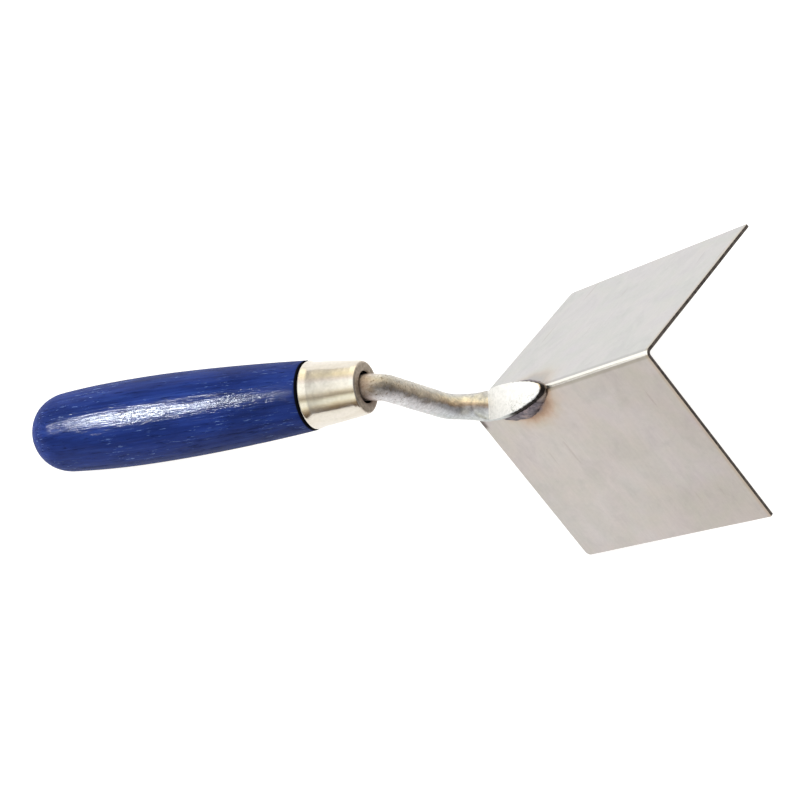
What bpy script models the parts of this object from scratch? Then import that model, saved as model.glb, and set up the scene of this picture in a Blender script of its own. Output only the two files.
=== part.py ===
"""Corner trowel: a folded steel blade on a bent rod shank with a turned
wooden handle.

Lengths are in metres and +Z is up.  The tool is drawn in its own tool frame
(x forward along the fold of the blade, y across the wings, z outward from the
ridge of the fold, zero at the rear end of the sharp ridge line) and then laid
down on the three points it rests on: the two rear corners of the blade and
the butt of the handle.
"""

import math

import bmesh
import bpy
from mathutils import Matrix, Vector

# ----------------------------------------------------------------------------
# Driving dimensions (metres, radians)
# ----------------------------------------------------------------------------
MM = 0.001
GAP = 0.32 * MM                  # air left between two pieces that touch

BLADE_LENGTH = 80 * MM           # along the fold
WING_WIDTH = 60 * MM             # from the sharp ridge line to the wing's edge
BLADE_THICKNESS = 1.0 * MM
FOLD_ANGLE = math.radians(90)    # between the wings
FOLD_RADIUS = 2.0 * MM           # outside radius of the fold
REAR_CORNER_RADIUS = 1.6 * MM
FRONT_CORNER_RADIUS = 0.7 * MM

ROD_RADIUS = 3.85 * MM
TANG_LENGTH = 52 * MM            # straight length of rod inside the handle
NECK_BEND_START = 2.65 * MM      # behind the ferrule's front face
NECK_BEND_RADIUS = 7.0 * MM      # bend at the ferrule, on the rod's centre line
NECK_HEADING = math.radians(-113.9)   # of the straight stretch, in the x-z plane
FOOT_BEND_RADIUS = 8.0 * MM      # bend at the blade, on the rod's centre line
FOOT_CENTRE_Z = 1.7 * MM         # height of the rod's centre line over the ridge

FOOT_START_X = 9.5 * MM          # where the rod begins to be forged flat
FOOT_FLAT_Z = 1.5 * MM           # height of the ground flat over the ridge line
FOOT_FLAT_START_X = 10.6 * MM
FOOT_WIDEST_X = 15.5 * MM
FOOT_HALF_WIDTH = 4.9 * MM
FOOT_NOSE_X = 37.6 * MM

BEAD_START_X = 12.5 * MM
BEAD_END_X = 32.0 * MM
BEAD_LEG = 1.5 * MM              # how far the weld reaches out past the foot

HANDLE_TILT = math.radians(29.65)     # between the handle's axis and the fold
FERRULE_FRONT = (14.14 * MM, 46.78 * MM)   # centre of the front face, x and z
FERRULE_LENGTH = 17.2 * MM
FERRULE_FRONT_RADIUS = 7.75 * MM
FERRULE_REAR_RADIUS = 9.75 * MM
FERRULE_EDGE_RADIUS = 1.0 * MM
FERRULE_THICKNESS = 0.8 * MM
FERRULE_HOLE_RADIUS = 4.6 * MM
FERRULE_LIP = 0.25 * MM          # outward roll of the rear rim

HANDLE_LENGTH = 97.0 * MM        # from the ferrule's rear rim to the butt
HANDLE_NECK_RADIUS = 10.1 * MM
HANDLE_BELLY_RADIUS = 13.15 * MM
HANDLE_BELLY_STATION = 62 * MM   # behind the ferrule
HANDLE_BUTT_STATION = 85 * MM    # where the butt begins to round off
SPIGOT_FRONT = 4.2 * MM          # behind the ferrule's front face
BORE_RADIUS = 5.4 * MM
BORE_DEPTH = 62 * MM             # behind the ferrule's front face
ADHESIVE_FRONT = 6.0 * MM        # behind the ferrule's front face

TURNED_STEPS = 48
ROD_SIDES = 24


# ----------------------------------------------------------------------------
# Scene and helpers
# ----------------------------------------------------------------------------
for old in list(bpy.data.objects):
    bpy.data.objects.remove(old, do_unlink=True)

parts = bpy.data.collections.new("corner_trowel")
cutters = bpy.data.collections.new("cutters")
bpy.context.scene.collection.children.link(parts)
bpy.context.scene.collection.children.link(cutters)

tool = bpy.data.objects.new("tool_frame", None)
parts.objects.link(tool)


def material(name, colour, roughness, metallic):
    m = bpy.data.materials.new(name)
    m.use_nodes = True
    b = m.node_tree.nodes["Principled BSDF"]
    b.inputs["Base Color"].default_value = (*colour, 1.0)
    b.inputs["Roughness"].default_value = roughness
    b.inputs["Metallic"].default_value = metallic
    m.diffuse_color = (*colour, 1.0)
    return m


STAINLESS = material("brushed_stainless_sheet", (0.55, 0.53, 0.51), 0.38, 1.0)
ROD_STEEL = material("bare_steel_rod", (0.38, 0.36, 0.34), 0.42, 1.0)
WELD = material("weld_metal", (0.28, 0.26, 0.27), 0.5, 1.0)
NICKEL = material("plated_ferrule_steel", (0.74, 0.67, 0.52), 0.2, 1.0)
BLUE_WOOD = material("blue_lacquered_wood", (0.02, 0.045, 0.22), 0.3, 0.0)
EPOXY = material("cured_epoxy", (0.55, 0.42, 0.2), 0.4, 0.0)


def add(name, mesh, mat, collection=parts):
    mesh.materials.append(mat)
    ob = bpy.data.objects.new(name, mesh)
    collection.objects.link(ob)
    ob.parent = tool
    return ob


def cutter(name, mesh):
    ob = bpy.data.objects.new(name, mesh)
    cutters.objects.link(ob)
    ob.parent = tool
    ob.hide_render = True
    ob.display_type = 'WIRE'
    return ob


def subtract(ob, tool_ob, name):
    mod = ob.modifiers.new(name, 'BOOLEAN')
    mod.operation = 'DIFFERENCE'
    mod.solver = 'EXACT'
    mod.object = tool_ob
    return mod


def smooth(ob, angle=35):
    ob.data.shade_smooth()
    ob.data.set_sharp_from_angle(angle=math.radians(angle))


def turned(name, profile, mat, closed=False):
    """A turned piece about local Z: (radius, z) points, down the outer side."""
    mesh = bpy.data.meshes.new(name)
    verts = [(r, 0.0, z) for r, z in profile]
    n = len(verts)
    edges = [(i, i + 1) for i in range(n - 1)]
    if closed:
        edges.append((n - 1, 0))
    mesh.from_pydata(verts, edges, [])
    ob = add(name, mesh, mat)
    screw = ob.modifiers.new("turn", 'SCREW')
    screw.axis = 'Z'
    screw.steps = TURNED_STEPS
    screw.render_steps = TURNED_STEPS
    screw.use_merge_vertices = True
    screw.merge_threshold = 0.00001
    screw.use_smooth_shade = True
    return ob


def on_handle_axis(ob):
    """Local +Z runs forward along the handle's axis, zero at the ferrule's face."""
    ob.location = (FERRULE_FRONT[0], 0.0, FERRULE_FRONT[1])
    ob.rotation_euler = (0.0, math.pi / 2 + HANDLE_TILT, 0.0)
    return ob


def arc(cx, cz, r, a0, a1, n):
    return [(cx + r * math.cos(a0 + (a1 - a0) * i / n),
             cz + r * math.sin(a0 + (a1 - a0) * i / n)) for i in range(n + 1)]


# ----------------------------------------------------------------------------
# Blade: one half of the outer skin, mirrored and given its thickness
# ----------------------------------------------------------------------------
half = FOLD_ANGLE / 2
down = (math.sin(half), -math.cos(half))          # along a wing, in y and z
tangent = FOLD_RADIUS / math.tan(half)            # ridge line to the flat
centre_z = -FOLD_RADIUS / math.sin(half)          # of the fold's arc


def on_wing(s):
    return (s * down[0], s * down[1])


bm = bmesh.new()
columns = []
bend_steps = 6
for i in range(bend_steps + 1):
    a = (math.pi / 2 - half) * i / bend_steps
    y, z = FOLD_RADIUS * math.sin(a), centre_z + FOLD_RADIUS * math.cos(a)
    columns.append((bm.verts.new((0.0, y, z)), bm.verts.new((BLADE_LENGTH, y, z))))
for (a0, a1), (b0, b1) in zip(columns, columns[1:]):
    bm.faces.new((a0, a1, b1, b0))
outline = []
for i in range(7):
    a = math.radians(90 * i / 6)
    r = FRONT_CORNER_RADIUS
    x = BLADE_LENGTH - r + r * math.cos(a)
    s = WING_WIDTH - r + r * math.sin(a)
    outline.append(bm.verts.new((x, *on_wing(s))))
for i in range(9):
    a = math.radians(90 + 90 * i / 8)
    r = REAR_CORNER_RADIUS
    x = r + r * math.cos(a)
    s = WING_WIDTH - r + r * math.sin(a)
    outline.append(bm.verts.new((x, *on_wing(s))))
bm.faces.new((columns[-1][0], columns[-1][1], *outline))
bm.normal_update()
mesh = bpy.data.meshes.new("blade")
bm.to_mesh(mesh)
bm.free()
blade = add("blade", mesh, STAINLESS)
mirror = blade.modifiers.new("other_wing", 'MIRROR')
mirror.use_axis = (False, True, False)
mirror.use_clip = True
mirror.merge_threshold = 0.00005
skin = blade.modifiers.new("sheet", 'SOLIDIFY')
skin.thickness = BLADE_THICKNESS
skin.offset = -1.0
skin.use_even_offset = True
smooth(blade, 20)

# ----------------------------------------------------------------------------
# Shank: rod from the tang to the forged foot, lofted along its centre line
# ----------------------------------------------------------------------------


def centre_line():
    """Points (x, z, heading) of the rod's centre line from tang to foot."""
    h0 = -HANDLE_TILT
    ax, az = math.cos(h0), math.sin(h0)
    fx, fz = FERRULE_FRONT
    sx, sz = fx - NECK_BEND_START * ax, fz - NECK_BEND_START * az
    pts = []
    straight = TANG_LENGTH
    for i in range(5):
        k = straight * (1 - i / 4.0)
        pts.append((sx - k * ax, sz - k * az, h0))
    r = NECK_BEND_RADIUS
    cx, cz = sx + r * math.sin(h0), sz - r * math.cos(h0)
    n = 12
    for i in range(1, n + 1):
        h = h0 + (NECK_HEADING - h0) * i / n
        pts.append((cx - r * math.sin(h), cz + r * math.cos(h), h))
    px, pz, _ = pts[-1]
    r2 = FOOT_BEND_RADIUS
    h = NECK_HEADING
    end_z = FOOT_CENTRE_Z + r2 - r2 * math.cos(h)
    run = (end_z - pz) / math.sin(h)
    n = 5
    for i in range(1, n + 1):
        pts.append((px + run * i / n * math.cos(h),
                    pz + run * i / n * math.sin(h), h))
    px, pz, _ = pts[-1]
    cx, cz = px - r2 * math.sin(h), pz + r2 * math.cos(h)
    n = 16
    for i in range(1, n + 1):
        h = NECK_HEADING * (1 - i / n)
        pts.append((cx + r2 * math.sin(h), cz - r2 * math.cos(h), h))
    return pts, cx


def foot_half_width(x):
    """Plan of the forged foot: full near the bend, drawn out to the nose."""
    if x < FOOT_WIDEST_X:
        t = max(0.0, (x - FOOT_START_X) / (FOOT_WIDEST_X - FOOT_START_X))
        t = t * t * (3 - 2 * t)
        return ROD_RADIUS + (FOOT_HALF_WIDTH - ROD_RADIUS) * t
    t = (x - FOOT_WIDEST_X) / (FOOT_NOSE_X - FOOT_WIDEST_X)
    return FOOT_HALF_WIDTH * max(0.0, 1 - 0.30 * t - 0.70 * t ** 4.2)


def saddle(y):
    """Underside of the foot, kept just clear of the ridge it straddles."""
    return -math.hypot(y, 1.15 * MM) + 0.78 * MM


def rod_section(x, z, h):
    ring = []
    for i in range(ROD_SIDES):
        a = 2 * math.pi * i / ROD_SIDES
        y, n = ROD_RADIUS * math.cos(a), ROD_RADIUS * math.sin(a)
        ring.append(Vector((x - n * math.sin(h), y, z + n * math.cos(h))))
    return ring


def foot_section(x, top):
    """Crown above, sides pressed down onto the wings, saddle below."""
    w = foot_half_width(x)
    ring = []
    for i in range(ROD_SIDES):
        a = 2 * math.pi * i / ROD_SIDES
        c, s = math.cos(a), math.sin(a)
        if s >= 0:
            y = w * math.copysign(abs(c) ** 0.75, c)
            z = -1.2 * MM + (top + 1.2 * MM) * s ** 0.8
        else:
            y = (w - 0.25 * MM * min(1.0, w / FOOT_HALF_WIDTH)) * math.copysign(abs(c) ** 0.6, c)
            if abs(c) > 0.999:
                z = -1.2 * MM
            else:
                z = saddle(y)
        ring.append(Vector((x, y, min(z, top) if s >= 0 else min(z, -0.2 * MM))))
    return ring


line, bend_end_x = centre_line()
rings = [rod_section(x, z, h) for x, z, h in line]

# The rod's sections turn into the foot's while it comes round the last bend.
blend_from = len(rings) - 7
last = len(rings) - 1
for k in range(blend_from, len(rings)):
    x, z, h = line[k]
    t = (k - blend_from + 1) / (len(rings) - blend_from)
    t = t * t * (3 - 2 * t)
    target = foot_section(max(x, FOOT_START_X), FOOT_CENTRE_Z + ROD_RADIUS)
    for i, v in enumerate(rings[k]):
        g = target[i]
        # only the width and the underside change; the ring keeps its plane
        low = max(0.0, -math.sin(2 * math.pi * i / ROD_SIDES))
        side = 1.0 - low
        v.y += t * (g.y - v.y)
        if k == last:
            v.z += (g.z - v.z) * (low if side < 1 else 0.0) * t
        clear = saddle(v.y)
        if v.z < clear and v.x > -0.5 * MM:
            v.z = clear
stations = 12
for i in range(1, stations + 1):
    t = i / stations
    x = bend_end_x + (FOOT_NOSE_X - bend_end_x) * (t if i < stations else 1.0)
    x = bend_end_x + (FOOT_NOSE_X - bend_end_x) * (1 - (1 - t) ** 1.35)
    if i == stations:
        x = FOOT_NOSE_X - 0.15 * MM
    rings.append(foot_section(x, FOOT_CENTRE_Z + ROD_RADIUS * 0.7))

bm = bmesh.new()
loops = [[bm.verts.new(v) for v in ring] for ring in rings]
for a, b in zip(loops, loops[1:]):
    for i in range(ROD_SIDES):
        j = (i + 1) % ROD_SIDES
        bm.faces.new((a[i], a[j], b[j], b[i]))
bm.faces.new(list(reversed(loops[0])))
bm.faces.new(loops[-1])
bmesh.ops.recalc_face_normals(bm, faces=bm.faces)
mesh = bpy.data.meshes.new("shank")
bm.to_mesh(mesh)
bm.free()
shank = add("shank", mesh, ROD_STEEL)


def block(name, x0, x1, y0, y1, z0, z1):
    """A plain block between two corners, from the cube primitive."""
    bm = bmesh.new()
    bmesh.ops.create_cube(bm, size=1.0)
    for v in bm.verts:
        v.co.x = x0 if v.co.x < 0 else x1
        v.co.y = y0 if v.co.y < 0 else y1
        v.co.z = z0 if v.co.z < 0 else z1
    mesh = bpy.data.meshes.new(name)
    bm.to_mesh(mesh)
    bm.free()
    return cutter(name, mesh)


ground = block("ground_flat", FOOT_FLAT_START_X, FOOT_NOSE_X + 10 * MM,
               -12 * MM, 12 * MM, FOOT_FLAT_Z, 14 * MM)
subtract(shank, ground, "grind_the_foot_flat")
smooth(shank, 30)

# ----------------------------------------------------------------------------
# Weld beads: one along each side of the foot, down onto the wing
# ----------------------------------------------------------------------------


def bead_section(x, size):
    """Fillet section (y, z): against the foot, in the root, out on the wing."""
    w = foot_half_width(x)
    inner = w + GAP
    toe = w + BEAD_LEG * (0.45 + 0.55 * size)
    crown = -0.6 * MM - 1.4 * MM * (1 - size)
    lift = GAP * math.sqrt(2)
    pts = []
    root_z = -inner + lift
    pts.append((inner, root_z))
    pts.append((inner, 0.5 * (root_z + crown)))
    pts.append((inner, crown))
    n = 7
    for i in range(1, n):
        t = i / n
        a = math.pi / 2 * (1 - t)
        y = inner + (toe - inner) * math.cos(a) ** 0.8
        z = (-toe + lift) + (crown - (-toe + lift)) * math.sin(a) ** 0.8
        pts.append((y, max(z, -y + lift + 0.02 * MM)))
    pts.append((toe, -toe + lift))
    pts.append((0.5 * (toe + inner), -0.5 * (toe + inner) + lift))
    return pts


def weld_bead(name, side):
    bm = bmesh.new()
    count = 26
    loops = []
    for i in range(count + 1):
        t = i / count
        x = BEAD_START_X + (BEAD_END_X - BEAD_START_X) * t
        size = math.sin(math.pi * t) ** 0.45 if 0 < t < 1 else 0.0
        size = 0.25 + 0.75 * size
        size *= 1 + 0.06 * math.sin(2 * math.pi * t * 9)      # ripples of the weld
        size = min(size, 1.05)
        loops.append([bm.verts.new((x, side * y, z)) for y, z in bead_section(x, size)])
    m = len(loops[0])
    for a, b in zip(loops, loops[1:]):
        for i in range(m):
            j = (i + 1) % m
            bm.faces.new((a[i], a[j], b[j], b[i]))
    bm.faces.new(list(reversed(loops[0])))
    bm.faces.new(loops[-1])
    bmesh.ops.recalc_face_normals(bm, faces=bm.faces)
    mesh = bpy.data.meshes.new(name)
    bm.to_mesh(mesh)
    bm.free()
    ob = add(name, mesh, WELD)
    smooth(ob, 45)
    return ob


weld_bead("weld_bead_left", 1.0)
weld_bead("weld_bead_right", -1.0)

# ----------------------------------------------------------------------------
# Ferrule: drawn tapered cap with a hole for the rod
# ----------------------------------------------------------------------------
t = FERRULE_THICKNESS
rf, rr, re = FERRULE_FRONT_RADIUS, FERRULE_REAR_RADIUS, FERRULE_EDGE_RADIUS
slope = (rr - rf) / FERRULE_LENGTH
profile = [(FERRULE_HOLE_RADIUS, 0.0), (FERRULE_HOLE_RADIUS + 0.8 * MM, 0.0)]
profile += arc(rf - re, -re, re, math.pi / 2, math.radians(5), 5)
profile += [(rf + slope * s, -s) for s in (5 * MM, 10 * MM, 14.5 * MM)]
profile += [(rr + 0.02 * MM, -FERRULE_LENGTH + 0.9 * MM),
            (rr + FERRULE_LIP, -FERRULE_LENGTH + 0.35 * MM),
            (rr + FERRULE_LIP, -FERRULE_LENGTH)]
profile += [(rr - t, -FERRULE_LENGTH), (rf - t + slope * 1.8 * MM, -1.8 * MM),
            (rf - t - 0.6 * MM, -t), (FERRULE_HOLE_RADIUS, -t)]
ferrule = on_handle_axis(turned("ferrule", profile, NICKEL, closed=True))
ferrule.data.update()

# The rod leaves the hole at a slant, so the hole is opened towards the bend.
curve = bpy.data.curves.new("rod_clearance", 'CURVE')
curve.dimensions = '3D'
curve.bevel_depth = ROD_RADIUS + GAP + 0.1 * MM
curve.bevel_resolution = 8
curve.use_fill_caps = True
spline = curve.splines.new('POLY')
path = line[3:14]          # the last of the tang and the first of the bend
spline.points.add(len(path) - 1)
for point, (x, z, _) in zip(spline.points, path):
    point.co = (x, 0.0, z, 1.0)
tube = bpy.data.objects.new("rod_clearance_curve", curve)
cutters.objects.link(tube)
bpy.context.view_layer.update()
evaluated = tube.evaluated_get(bpy.context.evaluated_depsgraph_get())
mesh = bpy.data.meshes.new_from_object(evaluated)
bm = bmesh.new()
bm.from_mesh(mesh)
bmesh.ops.remove_doubles(bm, verts=bm.verts, dist=0.00001)
bmesh.ops.recalc_face_normals(bm, faces=bm.faces)
bm.to_mesh(mesh)
bm.free()
clearance = cutter("rod_clearance", mesh)
bpy.data.objects.remove(tube, do_unlink=True)
subtract(ferrule, clearance, "room_for_the_bend")

# ----------------------------------------------------------------------------
# Handle: turned body with a spigot in the ferrule and a blind bore for the tang
# ----------------------------------------------------------------------------


def handle_radius(s):
    """Radius of the turned handle, s behind the ferrule's rear rim."""
    if s < HANDLE_BELLY_STATION:
        rise = math.sin(math.pi / 2 * s / HANDLE_BELLY_STATION) ** 0.9
        body = HANDLE_NECK_RADIUS + (HANDLE_BELLY_RADIUS - HANDLE_NECK_RADIUS) * rise
    else:
        body = HANDLE_BELLY_RADIUS - 1.6 * (s - HANDLE_BELLY_STATION) ** 2
    if s > HANDLE_BUTT_STATION:
        u = min(1.0, (s - HANDLE_BUTT_STATION) / (HANDLE_LENGTH - HANDLE_BUTT_STATION))
        body *= (1 - u ** 2.3) ** (1 / 2.3)
    return body


shoulder = -(FERRULE_LENGTH + GAP)
inside = rr - t - GAP
front_r = inside - slope * (FERRULE_LENGTH - SPIGOT_FRONT)
profile = [(0.0, -BORE_DEPTH), (BORE_RADIUS * 0.55, -BORE_DEPTH),
           (BORE_RADIUS, -BORE_DEPTH + 2.0 * MM), (BORE_RADIUS, -SPIGOT_FRONT - 20 * MM),
           (BORE_RADIUS, -SPIGOT_FRONT),
           (front_r - 0.4 * MM, -SPIGOT_FRONT), (front_r, -SPIGOT_FRONT - 0.4 * MM),
           (inside, shoulder), (HANDLE_NECK_RADIUS - 0.35 * MM, shoulder),
           (HANDLE_NECK_RADIUS, shoulder - 0.5 * MM)]
stations = [3, 8, 14, 21, 29, 38, 47, 56, 64, 71, 77, 82, 85.5, 88, 90, 91.8,
            93.3, 94.5, 95.5, 96.2, 96.7]
profile += [(handle_radius(s * MM), -FERRULE_LENGTH - s * MM) for s in stations]
profile += [(0.0, -FERRULE_LENGTH - HANDLE_LENGTH)]
handle = on_handle_axis(turned("handle", profile, BLUE_WOOD))

# ----------------------------------------------------------------------------
# Adhesive: the sleeve of resin that holds the tang in the bore
# ----------------------------------------------------------------------------
outer = BORE_RADIUS - GAP
inner = ROD_RADIUS + GAP
back = NECK_BEND_START + TANG_LENGTH
profile = [(inner, -ADHESIVE_FRONT), (outer, -ADHESIVE_FRONT),
           (outer, -0.5 * back), (outer, -back - 1.5 * MM), (0.0, -back - 1.5 * MM)]
profile = [(0.0, -back - GAP), (inner, -back - GAP), (inner, -0.5 * back)] + profile
adhesive = on_handle_axis(turned("tang_adhesive", profile, EPOXY))

# ----------------------------------------------------------------------------
# Lay the tool down on the blade's two rear corners and the handle's butt
# ----------------------------------------------------------------------------


def lowest_of_blade(a):
    """Height of the wing's rear corner when the nose is lifted by a."""
    r = REAR_CORNER_RADIUS
    sa, ca = math.sin(a), math.cos(a)
    cz = math.cos(half)
    s = WING_WIDTH - r
    return (r * sa - (s * cz + BLADE_THICKNESS * math.sin(half)) * ca
            - r * math.hypot(sa, cz * ca))


def lowest_of_handle(a):
    sa, ca = math.sin(a), math.cos(a)
    jx = FERRULE_FRONT[0] - FERRULE_LENGTH * math.cos(HANDLE_TILT)
    jz = FERRULE_FRONT[1] + FERRULE_LENGTH * math.sin(HANDLE_TILT)
    best = 1.0
    for i in range(601):
        s = HANDLE_LENGTH * i / 600
        z = (jx * sa + jz * ca - s * math.sin(a - HANDLE_TILT)
             - handle_radius(s) * math.cos(a - HANDLE_TILT))
        best = min(best, z)
    return best


lo, hi = math.radians(45), math.radians(75)
for _ in range(40):
    mid = 0.5 * (lo + hi)
    if lowest_of_handle(mid) > lowest_of_blade(mid):
        lo = mid
    else:
        hi = mid
REST_ANGLE = 0.5 * (lo + hi)
tool.rotation_euler = (0.0, -REST_ANGLE, 0.0)

bpy.context.view_layer.update()
depsgraph = bpy.context.evaluated_depsgraph_get()
low = Vector((1.0, 1.0, 1.0))
high = -low
for ob in parts.objects:
    if ob.type != 'MESH':
        continue
    seen = ob.evaluated_get(depsgraph)
    for v in seen.data.vertices:
        p = seen.matrix_world @ v.co
        low = Vector(map(min, low, p))
        high = Vector(map(max, high, p))
tool.location = (-0.5 * (low.x + high.x), 0.0, -low.z)
bpy.context.view_layer.update()
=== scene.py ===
"""Corner trowel: the visible pieces, their materials, the light and the camera.

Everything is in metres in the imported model's frame.  The fine pieces are drawn
in the tool's own frame (x forward along the fold, y across the wings, z out
from the ridge) and placed by one matrix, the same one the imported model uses.
"""

import math

import bmesh
import bpy
from mathutils import Matrix, Vector, noise


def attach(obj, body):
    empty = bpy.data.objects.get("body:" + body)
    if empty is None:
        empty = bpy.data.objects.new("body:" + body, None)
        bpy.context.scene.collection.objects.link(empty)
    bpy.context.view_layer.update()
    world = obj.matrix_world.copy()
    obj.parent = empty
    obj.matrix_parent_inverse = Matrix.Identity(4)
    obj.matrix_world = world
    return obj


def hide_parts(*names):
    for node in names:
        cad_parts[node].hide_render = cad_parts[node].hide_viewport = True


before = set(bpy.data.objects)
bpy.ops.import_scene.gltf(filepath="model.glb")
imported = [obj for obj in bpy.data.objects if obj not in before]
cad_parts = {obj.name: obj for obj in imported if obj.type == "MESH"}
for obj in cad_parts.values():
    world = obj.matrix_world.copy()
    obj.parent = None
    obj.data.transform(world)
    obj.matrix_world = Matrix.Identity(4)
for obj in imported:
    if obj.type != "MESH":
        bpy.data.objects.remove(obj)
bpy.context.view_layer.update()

MM = 0.001
PI = math.pi

# ----------------------------------------------------------------------------
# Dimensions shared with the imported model
# ----------------------------------------------------------------------------
BLADE_LENGTH = 80 * MM
WING_WIDTH = 60 * MM
BLADE_THICKNESS = 1.0 * MM
FOLD_RADIUS = 2.0 * MM
REAR_CORNER_RADIUS = 1.6 * MM
FRONT_CORNER_RADIUS = 0.35 * MM

ROD_RADIUS = 3.85 * MM
TANG_LENGTH = 52 * MM
NECK_BEND_START = 2.65 * MM
NECK_BEND_RADIUS = 7.0 * MM
NECK_HEADING = math.radians(-113.9)
FOOT_BEND_RADIUS = 8.0 * MM
FOOT_CENTRE_Z = 1.7 * MM

HANDLE_TILT = math.radians(29.65)
FERRULE_FRONT = (14.14 * MM, 46.78 * MM)
FERRULE_LENGTH = 17.2 * MM
FERRULE_FRONT_RADIUS = 7.75 * MM
FERRULE_REAR_RADIUS = 9.75 * MM
FERRULE_THICKNESS = 0.8 * MM

HANDLE_LENGTH = 97.0 * MM
HANDLE_NECK_RADIUS = 10.1 * MM
HANDLE_BELLY_RADIUS = 13.15 * MM
HANDLE_BELLY_STATION = 62 * MM
HANDLE_BUTT_STATION = 85 * MM

REST_ANGLE = math.radians(57.411560615)
TOOL = (Matrix.Translation((0.027647383511, 0.0, 0.022752961144))
        @ Matrix.Rotation(-REST_ANGLE, 4, 'Y'))
AXIS = (TOOL @ Matrix.Translation((FERRULE_FRONT[0], 0.0, FERRULE_FRONT[1]))
        @ Matrix.Rotation(PI / 2 + HANDLE_TILT, 4, 'Y'))


# ----------------------------------------------------------------------------
# Small helpers
# ----------------------------------------------------------------------------
def clamp01(t):
    return max(0.0, min(1.0, t))


def ease(a, b, x):
    t = clamp01((x - a) / (b - a))
    return t * t * (3 - 2 * t)


def lerp(a, b, t):
    return a + (b - a) * t


def table(x, points):
    """Straight-line interpolation through (x, value) points (monotone in x)."""
    if x <= points[0][0]:
        return points[0][1]
    for (x0, y0), (x1, y1) in zip(points, points[1:]):
        if x <= x1:
            t = (x - x0) / (x1 - x0)
            return y0 + (y1 - y0) * t
    return points[-1][1]


def spline(x, points):
    """Catmull-Rom interpolation through (x, value) points."""
    if x <= points[0][0]:
        return points[0][1]
    if x >= points[-1][0]:
        return points[-1][1]
    k = 0
    while points[k + 1][0] < x:
        k += 1
    x0, y0 = points[k]
    x1, y1 = points[k + 1]
    xa, ya = points[k - 1] if k > 0 else (x0 - (x1 - x0), y0 - (y1 - y0))
    xb, yb = points[k + 2] if k + 2 < len(points) else (x1 + (x1 - x0), y1 + (y1 - y0))
    m0 = (y1 - ya) / (x1 - xa) * (x1 - x0)
    m1 = (yb - y0) / (xb - x0) * (x1 - x0)
    t = (x - x0) / (x1 - x0)
    return ((2 * t ** 3 - 3 * t ** 2 + 1) * y0 + (t ** 3 - 2 * t ** 2 + t) * m0
            + (-2 * t ** 3 + 3 * t ** 2) * y1 + (t ** 3 - t ** 2) * m1)


def wobble(x, y, z, size):
    """Smooth noise in -1..1 with features of the given size in metres."""
    return noise.noise(Vector((x / size, y / size, z / size)))


def mesh_object(name, bm, matrix):
    """A new object at the origin whose mesh is moved to its place in the frame."""
    bmesh.ops.recalc_face_normals(bm, faces=bm.faces)
    mesh = bpy.data.meshes.new(name)
    bm.to_mesh(mesh)
    bm.free()
    mesh.transform(matrix)
    ob = bpy.data.objects.new(name, mesh)
    bpy.context.scene.collection.objects.link(ob)
    return ob


def apply_modifiers(ob):
    bpy.context.view_layer.update()
    dg = bpy.context.evaluated_depsgraph_get()
    mesh = bpy.data.meshes.new_from_object(ob.evaluated_get(dg))
    ob.modifiers.clear()
    old = ob.data
    ob.data = mesh
    bpy.data.meshes.remove(old)
    return ob


def shade(ob, angle=30):
    ob.data.shade_smooth()
    ob.data.set_sharp_from_angle(angle=math.radians(angle))


def bridge(bm, a, b, close=True):
    n = len(a)
    for i in range(n if close else n - 1):
        j = (i + 1) % n
        quad = [a[i], a[j], b[j], b[i]]
        quad = [v for k, v in enumerate(quad) if v not in quad[:k]]
        if len(quad) > 2:
            bm.faces.new(quad)


def lathe(name, profile, steps, matrix, shape=None):
    """A turned piece about local Z from (radius, z) points; shape moves points."""
    bm = bmesh.new()
    rings = []
    for k, (r, z) in enumerate(profile):
        if r < 1e-7:
            v = bm.verts.new((0.0, 0.0, z))
            rings.append([v] * steps)
            continue
        ring = []
        for i in range(steps):
            a = 2 * PI * i / steps
            rr, zz = (r, z) if shape is None else shape(k, r, z, a)
            ring.append(bm.verts.new((rr * math.cos(a), rr * math.sin(a), zz)))
        rings.append(ring)
    for a, b in zip(rings, rings[1:]):
        bridge(bm, a, b)
    return bm, rings


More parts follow.
